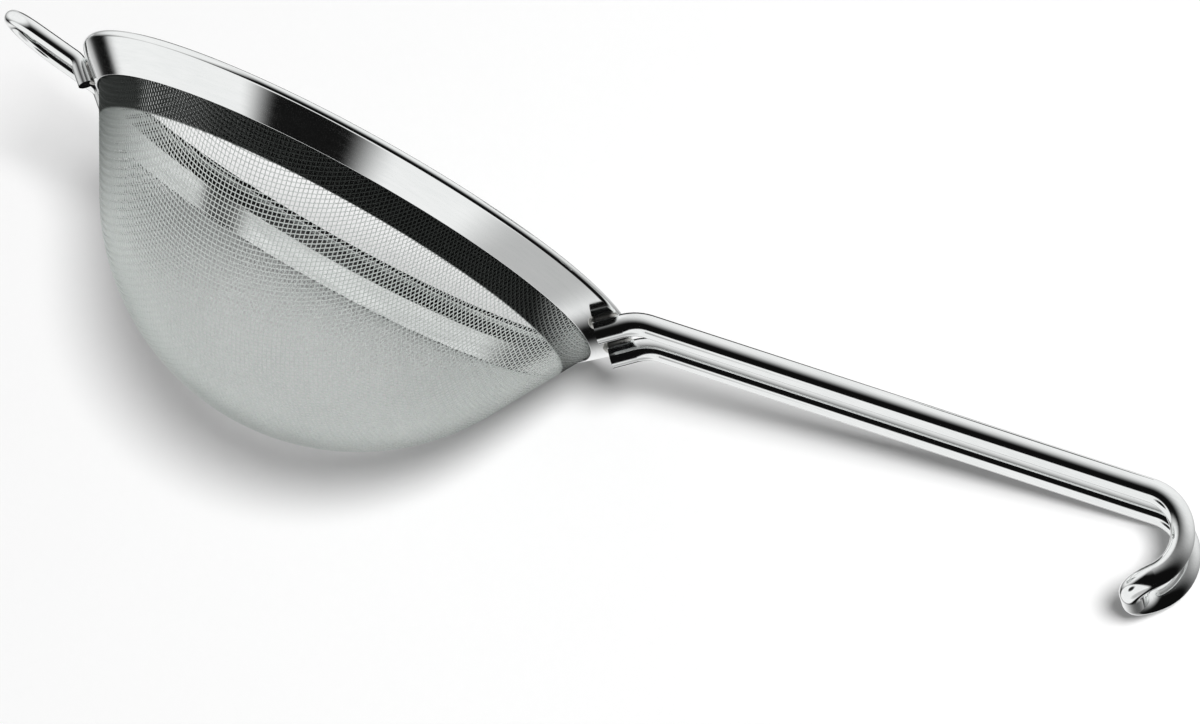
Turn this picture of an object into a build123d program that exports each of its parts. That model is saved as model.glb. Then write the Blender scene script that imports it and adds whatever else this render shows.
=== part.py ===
from build123d import *
import math
import os

os.makedirs("parts", exist_ok=True)

# Tea strainer: a woven wire bowl gripped between a flared rim band and an inner ring,
# with a bent-wire handle on +X and a bent-wire rest loop on -X.
# Millimetres, +Z up. The origin is on the bowl's axis, level with the top of the rim.

# Rim
rim_radius = 39.7               # over the rolled top edge
band_inset = 3.95               # how far the band's lower edge stands inside the rim
band_drop = 4.4                 # rim top down to the band's lower edge
ring_drop = 7.6                 # rim top down to the inner ring's lower edge
sheet = 0.3                     # thickness of the band and of the inner ring
hem_leg = 1.1                   # length of the folded-over edge inside the rim

# Woven bowl
cloth = 0.32                    # thickness of the cloth, two wires deep
wall_angle = 29.5               # conical wall, degrees from the axis
bowl_depth = 33.2               # rim top down to the outside of the bottom

# Handle
handle_wire = 3.0               # wire diameter
handle_gap = 11.1               # spacing of the two runs, centre to centre
handle_knee_drop = 0.65         # rim top down to the knee
handle_rise = 7.7               # degrees up from the rim plane
handle_run = 67.7               # knee to the start of the hook
handle_knee_bend = 6.0          # bend radius at the knee
hook_bend = 5.7                 # hook radius, to the wire's centre
hook_turn = 137.0               # degrees turned by the hook
tip_bend = 3.3                  # bend radius of the two corners at the tip, to the wire's centre

# Rest loop
loop_wire = 2.1
loop_gap = 11.3
loop_knee_drop = 1.7
loop_rise = 8.75
loop_run = 7.2                  # knee to the start of the round end
loop_knee_bend = 2.2

# Joints between wire and band
wire_clearance = 0.02           # wire skin to band skin at the welded ends
end_setback = 0.35              # wire end stops this far above the band's lower edge
weld_reach = 0.7                # weld radius as a share of the wire's radius
weld_length = 1.8

# The rolled edge wraps the cloth and the inner ring, so its radius follows the layers.
band_low_radius = rim_radius - band_inset
hem_radius = (3 * sheet + cloth) / 2
hem_r = rim_radius - hem_radius
hem_z = -hem_radius

# The band's outside face runs from its lower edge to a tangent on the rolled edge.
lean_r = hem_r - band_low_radius
lean_z = hem_z + band_drop
lean = math.hypot(lean_r, lean_z)
flare = math.atan2(lean_r, lean_z) + math.asin(hem_radius / lean)
flare_length = math.sqrt(lean**2 - hem_radius**2)
wall = math.radians(wall_angle)

# Unit directions in the section plane, up the band and down the wall,
# with the inward normal of each.
up_r = math.sin(flare)
up_z = math.cos(flare)
band_in_r = -math.cos(flare)
band_in_z = math.sin(flare)
wall_in_r = -math.cos(wall)
wall_in_z = math.sin(wall)

# Round bottom: a sphere tangent to the conical wall.
bend_r = band_low_radius + sheet * band_in_r
bend_z = -band_drop + sheet * band_in_z
bottom_radius = bend_r * math.cos(wall) - (bend_z + bowl_depth) * math.sin(wall)
bottom_radius = bottom_radius / (1 - math.sin(wall))
bottom_z = bottom_radius - bowl_depth

# Miter of the bend between band slope and wall slope, per unit of layer depth.
miter = 1 + band_in_r * wall_in_r + band_in_z * wall_in_z
miter_r = (band_in_r + wall_in_r) / miter
miter_z = (band_in_z + wall_in_z) / miter


def on_band(depth, along):
    """Section point at a depth inside the band's outer face, a length up from its edge."""
    r = band_low_radius + depth * band_in_r + along * up_r
    z = -band_drop + depth * band_in_z + along * up_z
    return (r, z)


def at_bend(depth):
    """Section point of the bend, at a depth inside the cloth's outer face."""
    return (bend_r + depth * miter_r, bend_z + depth * miter_z)


def on_wall(depth, level):
    """Section point on the conical wall at a depth inside the cloth and a height."""
    corner_r, corner_z = at_bend(depth)
    r = corner_r - (corner_z - level) * math.tan(wall)
    return (r, level)


def on_bottom(depth, angle):
    """Section point on the round bottom, angle in radians up from straight down."""
    radius = bottom_radius - depth
    return (radius * math.sin(angle), bottom_z - radius * math.cos(angle))


def revolved(points):
    """Closed straight-sided section turned about the bowl's axis."""
    with BuildPart() as turned:
        with BuildSketch(Plane.XZ):
            with BuildLine():
                Polyline(*points, close=True)
            make_face()
        revolve(axis=Axis.Z)
    return turned.part


# Rim band: one strip of sheet, flared outward, its top edge folded in over the cloth
# and the inner ring and down inside them.
leg_in = 2 * sheet + cloth
leg_out = 3 * sheet + cloth
hem_top_out = (hem_r + hem_radius * up_r, hem_z + hem_radius * up_z)
hem_bore = hem_radius - sheet
hem_top_in = (hem_r + hem_bore * up_r, hem_z + hem_bore * up_z)
with BuildPart() as rim_band:
    with BuildSketch(Plane.XZ):
        with BuildLine():
            Line(on_band(0, 0), on_band(0, flare_length))
            ThreePointArc(on_band(0, flare_length), hem_top_out, on_band(leg_out, flare_length))
            Line(on_band(leg_out, flare_length), on_band(leg_out, flare_length - hem_leg))
            Line(on_band(leg_out, flare_length - hem_leg), on_band(leg_in, flare_length - hem_leg))
            Line(on_band(leg_in, flare_length - hem_leg), on_band(leg_in, flare_length))
            ThreePointArc(on_band(leg_in, flare_length), hem_top_in, on_band(sheet, flare_length))
            Line(on_band(sheet, flare_length), on_band(sheet, 0))
            Line(on_band(sheet, 0), on_band(0, 0))
        make_face()
    revolve(axis=Axis.Z)
rim_band.part.label = "rim_band"
export_step(rim_band.part, "parts/rim_band.step")

# Clamp ring: plain strip lying against the inside of the cloth, from inside the rolled
# edge down past the band.
with BuildPart() as clamp_ring:
    with BuildSketch(Plane.XZ):
        with BuildLine():
            Polyline(
                on_band(sheet + cloth, flare_length),
                at_bend(cloth),
                on_wall(cloth, -ring_drop),
                on_wall(cloth + sheet, -ring_drop),
                at_bend(cloth + sheet),
                on_band(2 * sheet + cloth, flare_length),
                close=True,
            )
        make_face()
    revolve(axis=Axis.Z)
clamp_ring.part.label = "clamp_ring"
export_step(clamp_ring.part, "parts/clamp_ring.step")

# Woven bowl: the skin that the cloth fills, from inside the rolled edge to the round
# bottom, one cloth thickness through.
tangent = math.pi / 2 - wall
with BuildPart() as mesh_bowl:
    with BuildSketch(Plane.XZ):
        with BuildLine():
            Line(on_band(sheet, flare_length), at_bend(0))
            Line(at_bend(0), on_bottom(0, tangent))
            ThreePointArc(on_bottom(0, tangent), on_bottom(0, tangent / 2), on_bottom(0, 0))
            Line(on_bottom(0, 0), on_bottom(cloth, 0))
            ThreePointArc(
                on_bottom(cloth, 0), on_bottom(cloth, tangent / 2), on_bottom(cloth, tangent)
            )
            Line(on_bottom(cloth, tangent), at_bend(cloth))
            Line(at_bend(cloth), on_band(sheet + cloth, flare_length))
            Line(on_band(sheet + cloth, flare_length), on_band(sheet, flare_length))
        make_face()
    revolve(axis=Axis.Z)
mesh_bowl.part.label = "mesh_bowl"
export_step(mesh_bowl.part, "parts/mesh_bowl.step")


def beside_band(wire, gap, level):
    """Distance from the axis, along X, of a wire lying on the band at this height."""
    skin = band_low_radius + (level + band_drop) * math.tan(flare)
    centre = skin + (wire / 2 + wire_clearance) / math.cos(flare)
    return math.sqrt(centre**2 - (gap / 2) ** 2)


# Handle: one wire, both ends lying on the band, two parallel runs, hooked down and
# back, closed by a short bar with round corners at the tip.
rise = math.radians(handle_rise)
foot_z = -band_drop + end_setback
foot = Vector(beside_band(handle_wire, handle_gap, foot_z), -handle_gap / 2, foot_z)
knee_z = -handle_knee_drop
knee = Vector(beside_band(handle_wire, handle_gap, knee_z), -handle_gap / 2, knee_z)
run_end = knee + Vector(math.cos(rise), 0, math.sin(rise)) * handle_run
hook_centre = run_end + Vector(math.sin(rise), 0, -math.cos(rise)) * hook_bend


def on_hook(turn):
    """Point of the wire's centre line after a turn in degrees round the hook."""
    angle = rise - math.radians(turn)
    return hook_centre + Vector(-math.sin(angle), 0, math.cos(angle)) * hook_bend


tip_angle = rise - math.radians(hook_turn)
tip_way = Vector(math.cos(tip_angle), 0, math.sin(tip_angle))
tip_start = on_hook(hook_turn)
across = Vector(0, handle_gap, 0)
inward = Vector(0, tip_bend, 0)
bar_start = tip_start + inward + tip_way * tip_bend
bar_end = tip_start + across - inward + tip_way * tip_bend
corner_middle = math.sqrt(0.5)
near_corner_mid = tip_start + inward + (tip_way * tip_bend - inward) * corner_middle
far_corner_mid = tip_start + across - inward + (tip_way * tip_bend + inward) * corner_middle
with BuildLine() as handle_path:
    near_leg = FilletPolyline(foot, knee, run_end, radius=handle_knee_bend)
    near_hook = ThreePointArc(run_end, on_hook(hook_turn / 2), tip_start)
    near_corner = ThreePointArc(tip_start, near_corner_mid, bar_start)
    tip_bar = Line(bar_start, bar_end)
    far_corner = ThreePointArc(bar_end, far_corner_mid, tip_start + across)
    far_hook = ThreePointArc(tip_start + across, on_hook(hook_turn / 2) + across, run_end + across)
    far_leg = FilletPolyline(run_end + across, knee + across, foot + across, radius=handle_knee_bend)
with BuildPart() as handle:
    with BuildSketch(Plane(origin=foot, z_dir=knee - foot)):
        Circle(handle_wire / 2)
    sweep(path=handle_path.wire())
handle.part.label = "handle"
export_step(handle.part, "parts/handle.step")

# Rest loop: one thinner wire, both ends lying on the band, closed by a round end.
loop_up = math.radians(loop_rise)
loop_foot = Vector(-beside_band(loop_wire, loop_gap, foot_z), -loop_gap / 2, foot_z)
loop_knee_z = -loop_knee_drop
loop_knee = Vector(-beside_band(loop_wire, loop_gap, loop_knee_z), -loop_gap / 2, loop_knee_z)
loop_way = Vector(-math.cos(loop_up), 0, math.sin(loop_up))
loop_end = loop_knee + loop_way * loop_run
loop_mid = loop_end + Vector(0, loop_gap / 2, 0) + loop_way * (loop_gap / 2)
loop_across = Vector(0, loop_gap, 0)
with BuildLine() as loop_path:
    near_side = FilletPolyline(loop_foot, loop_knee, loop_end, radius=loop_knee_bend)
    round_end = ThreePointArc(loop_end, loop_mid, loop_end + loop_across)
    far_side = FilletPolyline(
        loop_end + loop_across, loop_knee + loop_across, loop_foot + loop_across,
        radius=loop_knee_bend,
    )
with BuildPart() as rest_loop:
    with BuildSketch(Plane(origin=loop_foot, z_dir=loop_knee - loop_foot)):
        Circle(loop_wire / 2)
    sweep(path=loop_path.wire())
rest_loop.part.label = "rest_loop"
export_step(rest_loop.part, "parts/rest_loop.step")

# Everything inside the band's outer face, continued along the flare above and below it.
below = band_drop + 3
inside_band = revolved(
    [
        (0, 1),
        (band_low_radius + (1 + band_drop) * math.tan(flare), 1),
        (band_low_radius - 3 * math.tan(flare), -below),
        (0, -below),
    ]
)


def weld_seat(side, wire, gap, level):
    """Point on the band's outer face under a wire, at this height."""
    x = beside_band(wire, gap, level)
    turn = math.asin(gap / 2 / math.hypot(x, gap / 2))
    skin = band_low_radius + (level + band_drop) * math.tan(flare)
    drop = (wire / 2 + wire_clearance) * math.sin(flare)
    r = skin + drop * math.tan(flare)
    return Vector(side * r * math.cos(turn), r * math.sin(turn), level + drop)


# Handle welds: a rounded seam along each end of the wire, filling the corners between
# the wire and the band.
handle_seam = handle_wire / 2 * weld_reach
with BuildPart() as handle_welds:
    for hand in (-1, 1):
        seam_low = weld_seat(1, handle_wire, handle_gap, foot_z + 0.25)
        seam_start = Vector(seam_low.X, hand * seam_low.Y, seam_low.Z)
        seam_way = (knee - foot).normalized() * weld_length
        with BuildSketch(Plane(origin=seam_start, z_dir=seam_way)):
            Circle(handle_seam)
        extrude(amount=weld_length)
        with Locations(seam_start, seam_start + seam_way):
            Sphere(handle_seam)
    add(inside_band, mode=Mode.SUBTRACT)
    add(mesh_bowl.part, mode=Mode.SUBTRACT)
    add(handle.part, mode=Mode.SUBTRACT)
handle_welds.part.label = "handle_welds"
export_step(handle_welds.part, "parts/handle_welds.step")

# Rest loop welds: the same seam, scaled to the thinner wire.
loop_seam = loop_wire / 2 * weld_reach
with BuildPart() as rest_loop_welds:
    for hand in (-1, 1):
        seam_low = weld_seat(-1, loop_wire, loop_gap, foot_z + 0.25)
        seam_start = Vector(seam_low.X, hand * seam_low.Y, seam_low.Z)
        seam_way = (loop_knee - loop_foot).normalized() * weld_length
        with BuildSketch(Plane(origin=seam_start, z_dir=seam_way)):
            Circle(loop_seam)
        extrude(amount=weld_length)
        with Locations(seam_start, seam_start + seam_way):
            Sphere(loop_seam)
    add(inside_band, mode=Mode.SUBTRACT)
    add(mesh_bowl.part, mode=Mode.SUBTRACT)
    add(rest_loop.part, mode=Mode.SUBTRACT)
rest_loop_welds.part.label = "rest_loop_welds"
export_step(rest_loop_welds.part, "parts/rest_loop_welds.step")
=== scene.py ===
import bpy
import math
import numpy as np
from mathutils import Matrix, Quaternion, Vector


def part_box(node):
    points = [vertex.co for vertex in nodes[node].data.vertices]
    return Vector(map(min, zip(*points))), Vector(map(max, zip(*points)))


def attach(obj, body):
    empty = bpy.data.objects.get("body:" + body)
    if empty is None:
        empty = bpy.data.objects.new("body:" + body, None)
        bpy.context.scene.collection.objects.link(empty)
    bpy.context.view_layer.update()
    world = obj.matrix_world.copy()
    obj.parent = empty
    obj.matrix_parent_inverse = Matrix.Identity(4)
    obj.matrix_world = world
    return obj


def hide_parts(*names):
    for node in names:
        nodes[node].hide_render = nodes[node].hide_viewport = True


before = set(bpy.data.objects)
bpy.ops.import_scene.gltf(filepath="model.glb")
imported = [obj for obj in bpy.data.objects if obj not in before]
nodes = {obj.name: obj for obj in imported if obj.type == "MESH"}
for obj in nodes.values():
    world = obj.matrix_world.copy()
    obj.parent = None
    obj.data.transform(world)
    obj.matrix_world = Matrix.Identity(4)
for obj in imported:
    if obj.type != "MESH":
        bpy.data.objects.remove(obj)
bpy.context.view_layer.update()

# Inner ring: a plain stainless strip rolled to a ring, pressed against the inside of the
# cloth. It was turned in a forming die, so faint lines run round it. The folded-over rim
# holds its top edge.
ring_steel_dark = (0.48, 0.50, 0.49, 1)
ring_steel_pale = (0.90, 0.92, 0.91, 1)
relief_depth = 0.00002


def socket_maker(group):
    def socket(name, kind, way, value=None):
        made = group.interface.new_socket(name=name, in_out=way, socket_type="NodeSocket" + kind)
        if value is not None:
            made.default_value = value
    return socket


def worked_steel_group():
    """Fine parallel marks of steel worked in one direction, with wandering haze."""
    marks_share = 0.55
    group = bpy.data.node_groups.new("worked_steel", "ShaderNodeTree")
    socket = socket_maker(group)
    socket("Marks Vector", "Vector", "INPUT")
    socket("Haze Vector", "Vector", "INPUT")
    socket("Dark Tone", "Color", "INPUT", (0.7, 0.7, 0.7, 1))
    socket("Pale Tone", "Color", "INPUT", (0.9, 0.9, 0.9, 1))
    socket("Smooth Roughness", "Float", "INPUT", 0.05)
    socket("Dull Roughness", "Float", "INPUT", 0.15)
    socket("Color", "Color", "OUTPUT")
    socket("Roughness", "Float", "OUTPUT")
    socket("Height", "Float", "OUTPUT")
    tree = group.nodes
    link = group.links.new
    given = tree.new("NodeGroupInput")
    made = tree.new("NodeGroupOutput")
    marks = tree.new("ShaderNodeTexNoise")
    marks.inputs["Scale"].default_value = 1.0
    marks.inputs["Detail"].default_value = 5.0
    marks.inputs["Roughness"].default_value = 0.65
    link(given.outputs["Marks Vector"], marks.inputs["Vector"])
    haze = tree.new("ShaderNodeTexNoise")
    haze.inputs["Scale"].default_value = 1.0
    haze.inputs["Detail"].default_value = 3.0
    link(given.outputs["Haze Vector"], haze.inputs["Vector"])
    both = tree.new("ShaderNodeMath")
    both.operation = "MULTIPLY_ADD"
    both.inputs[1].default_value = marks_share
    link(marks.outputs["Fac"], both.inputs[0])
    half = tree.new("ShaderNodeMath")
    half.operation = "MULTIPLY"
    half.inputs[1].default_value = 1 - marks_share
    link(haze.outputs["Fac"], half.inputs[0])
    link(half.outputs[0], both.inputs[2])
    spread = tree.new("ShaderNodeMapRange")
    spread.inputs["From Min"].default_value = 0.32
    spread.inputs["From Max"].default_value = 0.68
    link(both.outputs[0], spread.inputs["Value"])
    tone = tree.new("ShaderNodeMix")
    tone.data_type = "RGBA"
    link(spread.outputs["Result"], tone.inputs["Factor"])
    link(given.outputs["Dark Tone"], tone.inputs["A"])
    link(given.outputs["Pale Tone"], tone.inputs["B"])
    rough = tree.new("ShaderNodeMapRange")
    link(spread.outputs["Result"], rough.inputs["Value"])
    link(given.outputs["Dull Roughness"], rough.inputs["To Min"])
    link(given.outputs["Smooth Roughness"], rough.inputs["To Max"])
    link(tone.outputs["Result"], made.inputs["Color"])
    link(rough.outputs["Result"], made.inputs["Roughness"])
    link(marks.outputs["Fac"], made.inputs["Height"])
    return group


def turned_vector_group():
    """Position as distance round the axis, distance from it and height, each scaled."""
    group = bpy.data.node_groups.new("turned_vector", "ShaderNodeTree")
    socket = socket_maker(group)
    socket("Position", "Vector", "INPUT")
    socket("Round Scale", "Float", "INPUT", 1.0)
    socket("Section Scale", "Float", "INPUT", 1.0)
    socket("Vector", "Vector", "OUTPUT")
    tree = group.nodes
    link = group.links.new
    given = tree.new("NodeGroupInput")
    made = tree.new("NodeGroupOutput")
    split = tree.new("ShaderNodeSeparateXYZ")
    link(given.outputs["Position"], split.inputs[0])
    flat = tree.new("ShaderNodeCombineXYZ")
    link(split.outputs["X"], flat.inputs["X"])
    link(split.outputs["Y"], flat.inputs["Y"])
    radius = tree.new("ShaderNodeVectorMath")
    radius.operation = "LENGTH"
    link(flat.outputs[0], radius.inputs[0])
    unit = tree.new("ShaderNodeVectorMath")
    unit.operation = "NORMALIZE"
    link(flat.outputs[0], unit.inputs[0])
    round_part = tree.new("ShaderNodeVectorMath")
    round_part.operation = "SCALE"
    link(unit.outputs["Vector"], round_part.inputs[0])
    link(given.outputs["Round Scale"], round_part.inputs["Scale"])
    section = tree.new("ShaderNodeMath")
    section.operation = "ADD"
    link(radius.outputs["Value"], section.inputs[0])
    link(split.outputs["Z"], section.inputs[1])
    along = tree.new("ShaderNodeMath")
    along.operation = "MULTIPLY"
    link(section.outputs[0], along.inputs[0])
    link(given.outputs["Section Scale"], along.inputs[1])
    upright = tree.new("ShaderNodeCombineXYZ")
    link(along.outputs[0], upright.inputs["Z"])
    whole = tree.new("ShaderNodeVectorMath")
    whole.operation = "ADD"
    link(round_part.outputs["Vector"], whole.inputs[0])
    link(upright.outputs[0], whole.inputs[1])
    link(whole.outputs["Vector"], made.inputs["Vector"])
    return group


worked_steel = worked_steel_group()
turned_vector = turned_vector_group()


def place_group(tree, group, **values):
    """Adds a node group to a material and sets its unlinked inputs."""
    node = tree.nodes.new("ShaderNodeGroup")
    node.node_tree = group
    for name, value in values.items():
        node.inputs[name.replace("_", " ")].default_value = value
    return node


def worked_metal(name, dark, pale, smooth, dull, bump, marks, haze, turned):
    """A bare steel material. marks and haze scale the pattern, turned sets its direction:
    round the bowl's axis, or along X for the wires."""
    material = bpy.data.materials.new(name)
    material.use_nodes = True
    tree = material.node_tree
    shader = tree.nodes["Principled BSDF"]
    shader.inputs["Metallic"].default_value = 1.0
    where = tree.nodes.new("ShaderNodeTexCoord")
    surface = place_group(
        tree, worked_steel, Dark_Tone=dark, Pale_Tone=pale,
        Smooth_Roughness=smooth, Dull_Roughness=dull,
    )
    for (first, second), target in ((marks, "Marks Vector"), (haze, "Haze Vector")):
        if turned:
            vector = place_group(tree, turned_vector, Round_Scale=first, Section_Scale=second)
            tree.links.new(where.outputs["Object"], vector.inputs["Position"])
        else:
            vector = tree.nodes.new("ShaderNodeMapping")
            vector.inputs["Scale"].default_value = (first, second, second)
            tree.links.new(where.outputs["Object"], vector.inputs["Vector"])
        tree.links.new(vector.outputs["Vector"], surface.inputs[target])
    relief = tree.nodes.new("ShaderNodeBump")
    relief.inputs["Strength"].default_value = bump
    relief.inputs["Distance"].default_value = relief_depth
    tree.links.new(surface.outputs["Height"], relief.inputs["Height"])
    tree.links.new(surface.outputs["Color"], shader.inputs["Base Color"])
    tree.links.new(surface.outputs["Roughness"], shader.inputs["Roughness"])
    tree.links.new(relief.outputs["Normal"], shader.inputs["Normal"])
    return material


def give(piece, material):
    piece.data.materials.clear()
    piece.data.materials.append(material)


ring_steel = worked_metal(
    "plain_ring_steel", dark=ring_steel_dark, pale=ring_steel_pale,
    smooth=0.08, dull=0.2, bump=0.25, marks=(6.0, 2600.0), haze=(3.0, 300.0), turned=True,
)
give(nodes["clamp_ring"], ring_steel)

# Woven bowl: fine stainless wire cloth in plain weave, pressed from a flat disc into a
# conical wall and a round bottom. Its wires keep their spacing and shear past each other
# at the diagonals. The edge is gripped between the rim band and the inner ring.
wire_r = 0.000065
wire_sides = 5
parts_each_way = 4
weave_pitch = 0.0006
weave_turn = math.radians(-5)
grip_length = 0.0018
sheet = 0.0003
cloth_thick = 0.00032
hem_r = (3 * sheet + cloth_thick) / 2
wall = math.radians(29.5)
cloth_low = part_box("mesh_bowl")[0].z
grip_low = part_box("clamp_ring")[0].z
band_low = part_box("rim_band")[0].z
band_r = max(math.hypot(v.co.x, v.co.y) for v in nodes["rim_band"].data.vertices
             if v.co.z < band_low + 1e-5)
rim_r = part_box("rim_band")[1].x
lean_r = rim_r - hem_r - band_r
lean_z = -hem_r - band_low
lean = math.hypot(lean_r, lean_z)
flare = math.atan2(lean_r, lean_z) + math.asin(hem_r / lean)
flare_length = math.sqrt(lean**2 - hem_r**2)
middle_in = sheet + cloth_thick / 2
bend_r = band_r - middle_in * math.cos(flare)
bend_z = band_low + middle_in * math.sin(flare)
middle_low = cloth_low + cloth_thick / 2
dome_r = (bend_r * math.cos(wall) - (bend_z - middle_low) * math.sin(wall)) / (1 - math.sin(wall))
dome_z = middle_low + dome_r
dome_length = dome_r * (math.pi / 2 - wall)
tangent_r = dome_r * math.cos(wall)
wall_length = (bend_r - tangent_r) / math.sin(wall)
cloth_length = dome_length + wall_length + grip_length


def cloth_profile(s):
    """Distance from the axis and height of the cloth's middle, s along it from the bottom."""
    a = np.minimum(s, dome_length) / dome_r
    r = dome_r * np.sin(a)
    z = dome_z - dome_r * np.cos(a)
    on_wall = np.clip(s - dome_length, 0, wall_length)
    on_flare = np.maximum(s - dome_length - wall_length, 0)
    r = r + on_wall * math.sin(wall) + on_flare * math.sin(flare)
    z = z + on_wall * math.cos(wall) + on_flare * math.cos(flare)
    return r, z


def cloth_point(s, turn):
    r, z = cloth_profile(s)
    return np.stack([r * np.cos(turn), r * np.sin(turn), z], -1)


def cloth_slopes(s, turn):
    """Unit vectors along the cloth, outward from the bottom and round the axis."""
    a = np.where(s < dome_length, s / dome_r, math.pi / 2 - wall)
    a = np.where(s > dome_length + wall_length, math.pi / 2 - flare, a)
    out = np.stack([np.cos(a) * np.cos(turn), np.cos(a) * np.sin(turn), np.sin(a)], -1)
    round_axis = np.stack([-np.sin(turn), np.cos(turn), np.zeros_like(turn)], -1)
    return out, round_axis


def next_crossings(left, right, s, turn):
    """Points of the cloth one pitch from both neighbours, by Newton steps from a guess."""
    for _ in range(12):
        p = cloth_point(s, turn)
        out, round_axis = cloth_slopes(s, turn)
        r = np.maximum(cloth_profile(s)[0], 1e-9)
        to_left, to_right = p - left, p - right
        miss_left = (to_left**2).sum(-1) - weave_pitch**2
        miss_right = (to_right**2).sum(-1) - weave_pitch**2
        a = 2 * (to_left * out).sum(-1)
        b = 2 * (to_left * round_axis).sum(-1) * r
        c = 2 * (to_right * out).sum(-1)
        d = 2 * (to_right * round_axis).sum(-1) * r
        det = a * d - b * c
        det = np.where(np.abs(det) < 1e-16, 1e-16, det)
        s = np.maximum(s - (d * miss_left - b * miss_right) / det, 1e-6)
        turn = turn - (a * miss_right - c * miss_left) / det
    return s, turn


# One quarter of the net of crossings, grown from two wires that cross at the bottom.
reach = int(cloth_length / weave_pitch * 1.5) + 4
net_s = np.full((reach, reach), np.nan)
net_turn = np.full((reach, reach), np.nan)
steps = np.arange(reach) * weave_pitch
net_s[:, 0], net_turn[:, 0] = steps, 0.0
net_s[0, :], net_turn[0, :] = steps, math.pi / 2
over = cloth_length + 3 * weave_pitch
for k in range(2, 2 * reach - 1):
    i = np.arange(max(1, k - reach + 1), min(k, reach))
    j = k - i
    keep = (j >= 1) & (net_s[i - 1, j] < over) & (net_s[i, j - 1] < over)
    i, j = i[keep], j[keep]
    if not len(i):
        break
    left = cloth_point(net_s[i - 1, j], net_turn[i - 1, j])
    right = cloth_point(net_s[i, j - 1], net_turn[i, j - 1])
    corner = cloth_point(net_s[i - 1, j - 1], net_turn[i - 1, j - 1])
    guess = left + right - corner
    guess_turn = np.arctan2(guess[:, 1], guess[:, 0])
    guess_s = np.maximum(net_s[i - 1, j], net_s[i, j - 1]) + 0.3 * weave_pitch
    net_s[i, j], net_turn[i, j] = next_crossings(left, right, guess_s, guess_turn)


def crossing(i, j):
    """Place on the cloth of crossing i, j; negative counts are the mirrored quarters."""
    s = net_s[np.abs(i), np.abs(j)]
    turn = net_turn[np.abs(i), np.abs(j)]
    turn = np.where(i < 0, math.pi - turn, turn)
    turn = np.where(j < 0, -turn, turn)
    return s, turn + weave_turn


def woven_wire(fixed, along_first):
    """Centre line of one wire of the cloth, passing over and under the ones it crosses."""
    run = np.arange(-reach + 1, reach)
    held = np.full_like(run, fixed)
    i, j = (run, held) if along_first else (held, run)
    s, turn = crossing(i, j)
    inside = np.nan_to_num(s, nan=9.0) < cloth_length
    centre = reach - 1
    if not inside[centre]:
        return None
    low, high = centre, centre
    while low > 0 and inside[low - 1]:
        low -= 1
    while high < len(run) - 1 and inside[high + 1]:
        high += 1
    if high - low < 2:
        return None
    s, turn = s[low:high + 1], turn[low:high + 1]
    points = cloth_point(s, turn)
    out, round_axis = cloth_slopes(s, turn)
    normal = np.cross(out, round_axis)
    side = np.where((run[low:high + 1] + fixed) % 2 == 0, 1.0, -1.0)
    side = side if along_first else -side
    line = np.empty((2 * len(points) - 1, 3))
    line[0::2] = points + normal * (side * wire_r)[:, None]
    line[1::2] = (points[1:] + points[:-1]) / 2
    up = np.empty_like(line)
    up[0::2] = normal
    up[1::2] = (normal[1:] + normal[:-1]) / 2
    return line, up


def tube_of(lines, sides, radius):
    """Vertices and faces of round wires, closed at both ends."""
    corner = np.arange(sides) * 2 * math.pi / sides
    verts, quads, caps, count = [], [], [], 0
    for line, up in lines:
        along = np.gradient(line, axis=0)
        along /= np.linalg.norm(along, axis=1)[:, None]
        across = np.cross(along, up)
        across /= np.linalg.norm(across, axis=1)[:, None]
        up = np.cross(across, along)
        ring = line[:, None] + radius * (across[:, None] * np.cos(corner)[None, :, None]
                                         + up[:, None] * np.sin(corner)[None, :, None])
        n = len(line)
        row = count + np.arange(n - 1)[:, None] * sides
        step = np.arange(sides)[None, :]
        first = row + step
        beside = row + (step + 1) % sides
        quads.append(np.stack([first, beside, beside + sides, first + sides], -1).reshape(-1, 4))
        caps.append((count + np.arange(sides))[::-1])
        caps.append(count + (n - 1) * sides + np.arange(sides))
        verts.append(ring.reshape(-1, 3))
        count += n * sides
    return np.concatenate(verts), np.concatenate(quads), np.array(caps)


def smooth_mesh(name, verts, quads, caps):
    mesh = bpy.data.meshes.new(name)
    sides = caps.shape[1]
    mesh.vertices.add(len(verts))
    mesh.vertices.foreach_set("co", verts.astype(np.float32).ravel())
    mesh.loops.add(quads.size + caps.size)
    corners = np.concatenate([quads.ravel(), caps.ravel()])
    mesh.loops.foreach_set("vertex_index", corners.astype(np.int32))
    mesh.polygons.add(len(quads) + len(caps))
    cap_starts = quads.size + np.arange(len(caps)) * sides
    starts = np.concatenate([np.arange(len(quads)) * 4, cap_starts])
    mesh.polygons.foreach_set("loop_start", starts.astype(np.int32))
    mesh.update(calc_edges=True)
    smooth = np.concatenate([np.ones(len(quads), bool), np.zeros(len(caps), bool)])
    mesh.polygons.foreach_set("use_smooth", smooth)
    mesh.update()
    piece = bpy.data.objects.new(name, mesh)
    bpy.context.scene.collection.objects.link(piece)
    return piece


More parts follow.
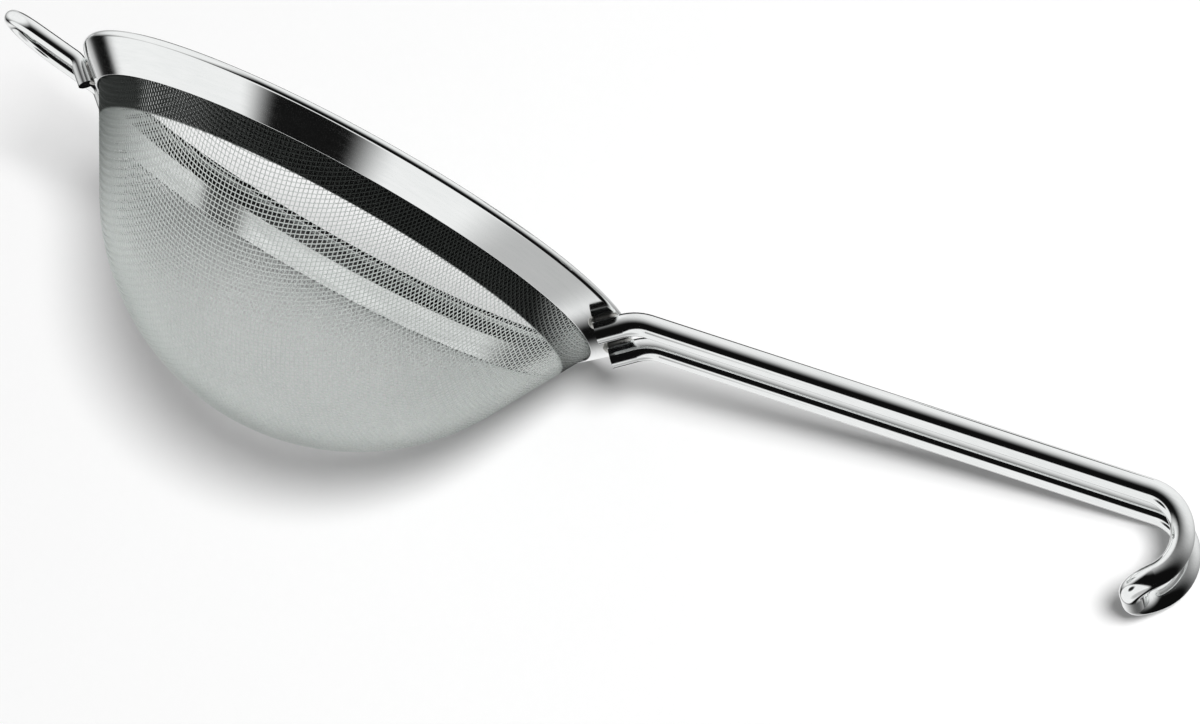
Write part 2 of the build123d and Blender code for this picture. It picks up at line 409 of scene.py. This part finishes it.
cloth_dark, cloth_pale = (0.72, 0.76, 0.74, 1), (0.90, 0.93, 0.91, 1)
# Painted shade: a darker grey for the cloth on the rest loop's side, near the rim.
painted_shade_tone = (0.12, 0.135, 0.127, 1)
# Painted shade: a near black for the wires that lie on the ring.
ring_strip_shade_tone = (0.045, 0.05, 0.047, 1)
woven_steel = bpy.data.materials.new("woven_steel_wire")
woven_steel.use_nodes = True
tree = woven_steel.node_tree
shader = tree.nodes["Principled BSDF"]
shader.inputs["Metallic"].default_value = 0.62
where = tree.nodes.new("ShaderNodeTexCoord")
drawn = place_group(
    tree, worked_steel, Dark_Tone=cloth_dark, Pale_Tone=cloth_pale,
    Smooth_Roughness=0.34, Dull_Roughness=0.5,
)
for target, scale in (("Marks Vector", 4000.0), ("Haze Vector", 70.0)):
    spread = tree.nodes.new("ShaderNodeMapping")
    spread.inputs["Scale"].default_value = (scale, scale, scale)
    tree.links.new(where.outputs["Object"], spread.inputs["Vector"])
    tree.links.new(spread.outputs["Vector"], drawn.inputs[target])
# Painted shade: the cloth is a darker grey on the side of the rest loop, mostly near the rim.
place = tree.nodes.new("ShaderNodeSeparateXYZ")
tree.links.new(where.outputs["Object"], place.inputs[0])


def ramp_along(axis, start, end):
    """0 up to start, 1 from end on, along one axis of the strainer."""
    ramp = tree.nodes.new("ShaderNodeMapRange")
    ramp.interpolation_type = "SMOOTHSTEP"
    ramp.inputs["From Min"].default_value = start
    ramp.inputs["From Max"].default_value = end
    tree.links.new(place.outputs[axis], ramp.inputs["Value"])
    return ramp.outputs["Result"]


def toned(colour, first_mask, second_mask, tone):
    """A colour turned to another tone where both masks are 1."""
    both = tree.nodes.new("ShaderNodeMath")
    both.operation = "MULTIPLY"
    tree.links.new(first_mask, both.inputs[0])
    tree.links.new(second_mask, both.inputs[1])
    mix = tree.nodes.new("ShaderNodeMix")
    mix.data_type = "RGBA"
    mix.inputs["B"].default_value = tone
    tree.links.new(both.outputs[0], mix.inputs["Factor"])
    tree.links.new(colour, mix.inputs["A"])
    return mix.outputs["Result"]


# Painted shade on the rest loop's side of the cloth, near the rim.
cloth_painted_shade = toned(
    drawn.outputs["Color"], ramp_along("X", -0.012, -0.037), ramp_along("Z", -0.028, -0.009),
    painted_shade_tone,
)
# Painted shade: the wires that lie on the ring are nearly black, except beside the handle.
cloth_with_ring_shade = toned(
    cloth_painted_shade, ramp_along("Z", grip_low - 0.00025, grip_low + 0.00005),
    ramp_along("X", 0.0352, 0.0314),
    ring_strip_shade_tone,
)
tree.links.new(cloth_with_ring_shade, shader.inputs["Base Color"])
tree.links.new(drawn.outputs["Roughness"], shader.inputs["Roughness"])

for family, along_first in (("warp", True), ("weft", False)):
    wires = [woven_wire(count, along_first) for count in range(-reach + 1, reach)]
    wires = [wire for wire in wires if wire is not None]
    for part, group in enumerate(np.array_split(np.arange(len(wires)), parts_each_way)):
        verts, quads, caps = tube_of([wires[g] for g in group], wire_sides, wire_r)
        cloth_part = smooth_mesh(f"cloth_{family}_{part + 1}", verts, quads, caps)
        give(cloth_part, woven_steel)
        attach(cloth_part, "root")
        if family == "warp" and part == 0:
            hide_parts("mesh_bowl")

# Rim band: one strip of polished stainless sheet, spun to a flared ring. Its top edge is
# rolled in over the cloth and the inner ring and pressed down flat inside them, which is
# all that holds the bowl together.
hem_leg = 0.0011
leg_in = 2 * sheet + cloth_thick
leg_out = 3 * sheet + cloth_thick
edge_r = 0.00005
turns = 384
up_r, up_z = math.sin(flare), math.cos(flare)
in_r, in_z = -math.cos(flare), math.sin(flare)


def on_band(depth, along):
    """Section point at a depth inside the band's outer face, a length up from its edge."""
    return band_r + depth * in_r + along * up_r, band_low + depth * in_z + along * up_z


def straight(start, end, count):
    """Section points of a straight face, crowded at both ends so that it shades flat."""
    t = (1 - np.cos(np.linspace(0, math.pi, count))) / 2
    return [tuple(np.array(start) + (np.array(end) - np.array(start)) * k) for k in t]


def over_hem(radius, count, backward):
    """Section points of the half round over the rolled edge."""
    middle = np.array(on_band(hem_r, flare_length))
    angles = np.linspace(0, math.pi, count)[1:-1]
    angles = angles[::-1] if backward else angles
    return [tuple(middle - radius * np.cos(k) * np.array((in_r, in_z))
                  + radius * np.sin(k) * np.array((up_r, up_z))) for k in angles]


def turned_piece(name, section):
    """Closed section turned round the bowl's axis."""
    angles = np.arange(turns) * 2 * math.pi / turns
    section = np.array(section)
    ring = np.stack([section[None, :, 0] * np.cos(angles)[:, None],
                     section[None, :, 0] * np.sin(angles)[:, None],
                     np.broadcast_to(section[None, :, 1], (turns, len(section)))], -1)
    n = len(section)
    here = np.arange(turns)[:, None] * n + np.arange(n)[None, :]
    up = np.arange(turns)[:, None] * n + (np.arange(n)[None, :] + 1) % n
    beside = (here + n) % (turns * n)
    beside_up = (up + n) % (turns * n)
    quads = np.stack([here, beside, beside_up, up], -1).reshape(-1, 4)
    return smooth_mesh(name, ring.reshape(-1, 3), quads, np.zeros((0, 3), int))


leg_end = flare_length - hem_leg
band_section = (
    straight(on_band(0, edge_r), on_band(0, flare_length), 14)
    + over_hem(hem_r, 26, False)
    + straight(on_band(leg_out, flare_length), on_band(leg_out, leg_end + edge_r), 8)
    + straight(on_band(leg_out - edge_r, leg_end), on_band(leg_in + edge_r, leg_end), 5)
    + straight(on_band(leg_in, leg_end + edge_r), on_band(leg_in, flare_length), 8)
    + over_hem(hem_r - sheet, 14, True)
    + straight(on_band(sheet, flare_length), on_band(sheet, edge_r), 14)
    + straight(on_band(sheet - edge_r, 0), on_band(edge_r, 0), 5)
)
rolled_band = turned_piece("rolled_rim_band", band_section)
polished_steel = worked_metal(
    "polished_rim_steel", dark=(0.86, 0.88, 0.875, 1), pale=(0.94, 0.95, 0.945, 1),
    smooth=0.035, dull=0.11, bump=0.05, marks=(9.0, 1500.0), haze=(2.2, 90.0), turned=True,
)
give(rolled_band, polished_steel)
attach(rolled_band, "root")
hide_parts("rim_band")

# Handle: one length of bright-drawn stainless wire, bent into two parallel runs with a
# hook at the far end. Drawing leaves hair-fine lines along it. Both ends lie on the band.
bright_steel = worked_metal(
    "bright_drawn_wire", dark=(0.83, 0.85, 0.845, 1), pale=(0.94, 0.95, 0.945, 1),
    smooth=0.04, dull=0.12, bump=0.06, marks=(140.0, 5200.0), haze=(60.0, 420.0), turned=False,
)
give(nodes["handle"], bright_steel)

# Rest loop: a thinner length of the same bright wire, bent to a flat U that rests on the
# far rim of a cup. Both ends lie on the band, opposite the handle.
give(nodes["rest_loop"], bright_steel)

# Welds: short seams where the handle and the rest loop meet the band, left as welded and
# brushed, so they are duller and a little browner than the polished steel round them.
weld_steel = worked_metal(
    "brushed_weld_steel", dark=(0.34, 0.33, 0.31, 1), pale=(0.62, 0.62, 0.60, 1),
    smooth=0.2, dull=0.42, bump=0.5, marks=(2600.0, 2600.0), haze=(700.0, 700.0), turned=False,
)
for weld in ("handle_welds", "rest_loop_welds"):
    give(nodes[weld], weld_steel)

# Camera: close to the rim's plane and a little below it, turned to the handle's side and
# rolled, so that the handle runs down to the right.
aim = Vector((0.0387, 0.0, -0.00615))
camera_distance = 0.7
turn, tilt, roll = math.radians(16.1), math.radians(-9.65), math.radians(28.8)


def toward(turn, tilt):
    """Unit direction turned from -Y toward +X, then tilted up from level."""
    return Vector((
        math.sin(turn) * math.cos(tilt),
        -math.cos(turn) * math.cos(tilt),
        math.sin(tilt),
    ))


view_from = toward(turn, tilt)
camera = bpy.data.objects.new("camera", bpy.data.cameras.new("camera"))
bpy.context.scene.collection.objects.link(camera)
camera.data.sensor_width = 36
camera.data.lens = 168
camera.data.clip_start = 0.01
camera.data.clip_end = 20
camera.location = aim + view_from * camera_distance
camera.rotation_mode = "QUATERNION"
camera.rotation_quaternion = (-view_from).to_track_quat("-Z", "Y") @ Quaternion((0, 0, 1), roll)
bpy.context.scene.camera = camera
picture_right = camera.rotation_quaternion @ Vector((1, 0, 0))
picture_up = camera.rotation_quaternion @ Vector((0, 1, 0))

# Floor: a sheet of white paper that the strainer lies on, touching it with the far side of
# the rim and of the hook. Seen from behind it is clear, so that it never hides the
# strainer, and the steel doesn't mirror it. The gap keeps the touching faces apart.
floor_reach = 3.0
floor_up = toward(math.radians(-16.1), math.radians(-9.65))
floor_gap = 0.0002
floor_level = min(floor_up.dot(v.co) for node in nodes.values() for v in node.data.vertices)
floor_middle = aim + floor_up * (floor_level - floor_gap - floor_up.dot(aim))
floor_side = floor_up.orthogonal().normalized()
floor_other = floor_up.cross(floor_side)
sheet_corners = ((-1, -1), (1, -1), (1, 1), (-1, 1))
paper_corners = [
    floor_middle + floor_side * x * floor_reach + floor_other * y * floor_reach
    for x, y in sheet_corners
]
floor_mesh = bpy.data.meshes.new("paper_floor")
floor_mesh.from_pydata(paper_corners, [], [(0, 1, 2, 3)])
floor = bpy.data.objects.new("paper_floor", floor_mesh)
bpy.context.scene.collection.objects.link(floor)
paper = bpy.data.materials.new("white_paper")
paper.use_nodes = True
tree = paper.node_tree
shader = tree.nodes["Principled BSDF"]
shader.inputs["Roughness"].default_value = 0.9
shader.inputs["Specular IOR Level"].default_value = 0.0
where = tree.nodes.new("ShaderNodeTexCoord")
fibre = tree.nodes.new("ShaderNodeTexNoise")
fibre.inputs["Scale"].default_value = 900.0
tone = tree.nodes.new("ShaderNodeMapRange")
tone.inputs["To Min"].default_value = 0.895
tone.inputs["To Max"].default_value = 0.905
clear = tree.nodes.new("ShaderNodeBsdfTransparent")
either_side = tree.nodes.new("ShaderNodeMixShader")
facing = tree.nodes.new("ShaderNodeNewGeometry")
tree.links.new(where.outputs["Object"], fibre.inputs["Vector"])
tree.links.new(fibre.outputs["Fac"], tone.inputs["Value"])
tree.links.new(tone.outputs["Result"], shader.inputs["Base Color"])
tree.links.new(facing.outputs["Backfacing"], either_side.inputs["Fac"])
tree.links.new(shader.outputs["BSDF"], either_side.inputs[1])
tree.links.new(clear.outputs["BSDF"], either_side.inputs[2])
tree.links.new(either_side.outputs["Shader"], tree.nodes["Material Output"].inputs["Surface"])
floor_mesh.materials.append(paper)
floor.visible_glossy = False

# Studio: a white tent round the strainer, open and dark toward the camera, which polished
# steel mirrors. Past the floor the camera sees an even pale grey, and the light that the
# tent gives to dull surfaces is even too.
tent_white = 1.16
tent_dark = 0.006
soft_light = 0.28
studio = bpy.data.worlds.new("white_tent")
bpy.context.scene.world = studio
studio.use_nodes = True
tree = studio.node_tree
tree.nodes.clear()
where = tree.nodes.new("ShaderNodeTexCoord")
path = tree.nodes.new("ShaderNodeLightPath")


def tent_patch(direction, inner, outer):
    """1 within the inner angle of a direction, fading to 0 at the outer angle."""
    along = tree.nodes.new("ShaderNodeVectorMath")
    along.operation = "DOT_PRODUCT"
    along.inputs[1].default_value = Vector(direction).normalized()
    tree.links.new(where.outputs["Generated"], along.inputs[0])
    fade = tree.nodes.new("ShaderNodeMapRange")
    fade.interpolation_type = "SMOOTHSTEP"
    fade.inputs["From Min"].default_value = math.cos(math.radians(outer))
    fade.inputs["From Max"].default_value = math.cos(math.radians(inner))
    tree.links.new(along.outputs["Value"], fade.inputs["Value"])
    return fade.outputs["Result"]


def worked_out(operation, *values):
    node = tree.nodes.new("ShaderNodeMath")
    node.operation = operation
    for socket, value in zip(node.inputs, values):
        if isinstance(value, (int, float)):
            socket.default_value = value
        else:
            tree.links.new(value, socket)
    return node.outputs[0]


def chosen(choice, no, yes):
    """no where the choice is 0, yes where it is 1."""
    return worked_out("ADD", worked_out("MULTIPLY", no, worked_out("SUBTRACT", 1.0, choice)),
                      worked_out("MULTIPLY", yes, choice))


white = tent_patch((-0.2, 0.3, -0.93), 47, 54)
for wall_patch in (((0, 0, 1), 4, 100), (-view_from, 0, 37), ((-0.96, -0.08, 0.26), 28, 58)):
    white = worked_out("MAXIMUM", white, tent_patch(*wall_patch))
dull = worked_out("MULTIPLY", tent_patch((0.40, 0.50, -0.77), 8, 24), 0.45)
beside_loop = worked_out("MULTIPLY", tent_patch((-0.655, 0.72, -0.235), 2, 9), 0.9)
dull = worked_out("MAXIMUM", dull, beside_loop)
mirrored = worked_out("MULTIPLY", white, worked_out("SUBTRACT", 1.0, dull))
mirrored = worked_out("MULTIPLY_ADD", mirrored, tent_white, tent_dark)
strength = chosen(path.outputs["Is Diffuse Ray"], mirrored, soft_light)
strength = chosen(path.outputs["Is Camera Ray"], strength, 1.0)
background = tree.nodes.new("ShaderNodeBackground")
tree.links.new(strength, background.inputs["Strength"])
surroundings = tree.nodes.new("ShaderNodeOutputWorld")
tree.links.new(background.outputs["Background"], surroundings.inputs["Surface"])

# Flags: black soft-edged cards near the strainer, which only the steel mirrors. They draw
# the dark patch on the band and the dark line inside the far rim. Each has a centre, a
# solid black radius and the radius where it has faded out.
for flag_name, centre, core, soft in (
    ("flag_below", (-0.085, -0.055, -0.35), 0.058, 0.132),
    ("flag_behind", (-0.065, 0.145, 0.124), 0.088, 0.114),
    ("flag_gap", (0.055, 0.035, 0.124), 0.015, 0.024),
):
    flag_mesh = bpy.data.meshes.new(flag_name)
    corners = [(x * soft, y * soft, 0) for x, y in sheet_corners]
    flag_mesh.from_pydata(corners, [], [(0, 1, 2, 3)])
    flag = bpy.data.objects.new(flag_name, flag_mesh)
    bpy.context.scene.collection.objects.link(flag)
    flag.location = centre
    black = bpy.data.materials.new(flag_name)
    black.use_nodes = True
    tree = black.node_tree
    tree.nodes.remove(tree.nodes["Principled BSDF"])
    where = tree.nodes.new("ShaderNodeTexCoord")
    far = tree.nodes.new("ShaderNodeVectorMath")
    far.operation = "LENGTH"
    tree.links.new(where.outputs["Object"], far.inputs[0])
    fade = tree.nodes.new("ShaderNodeMapRange")
    fade.interpolation_type = "SMOOTHSTEP"
    fade.inputs["From Min"].default_value = core
    fade.inputs["From Max"].default_value = soft
    tree.links.new(far.outputs["Value"], fade.inputs["Value"])
    card = tree.nodes.new("ShaderNodeEmission")
    card.inputs["Strength"].default_value = tent_dark
    clear = tree.nodes.new("ShaderNodeBsdfTransparent")
    mix = tree.nodes.new("ShaderNodeMixShader")
    tree.links.new(fade.outputs["Result"], mix.inputs["Fac"])
    tree.links.new(card.outputs["Emission"], mix.inputs[1])
    tree.links.new(clear.outputs["BSDF"], mix.inputs[2])
    tree.links.new(mix.outputs["Shader"], tree.nodes["Material Output"].inputs["Surface"])
    flag_mesh.materials.append(black)
    flag.visible_camera = False
    flag.visible_diffuse = False
    flag.visible_shadow = False
    flag.visible_transmission = False
    flag.visible_volume_scatter = False

# Softbox: one round light well behind the camera, a little up and to its right, whose soft
# shadow falls down and to the left. The steel doesn't mirror it.
softbox_distance = 2.6
softbox_right, softbox_up = 0.08, 0.15
softbox = bpy.data.objects.new("softbox", bpy.data.lights.new("softbox", "AREA"))
bpy.context.scene.collection.objects.link(softbox)
softbox.data.shape = "DISK"
softbox.data.size = 0.54
softbox.data.energy = 74.0
softbox_from = view_from + picture_right * softbox_right + picture_up * softbox_up
softbox.location = aim + softbox_from * softbox_distance
softbox.rotation_mode = "QUATERNION"
softbox.rotation_quaternion = (aim - softbox.location).to_track_quat("-Z", "Y")
softbox.visible_glossy = False
bpy.context.scene.view_settings.view_transform = "Standard"
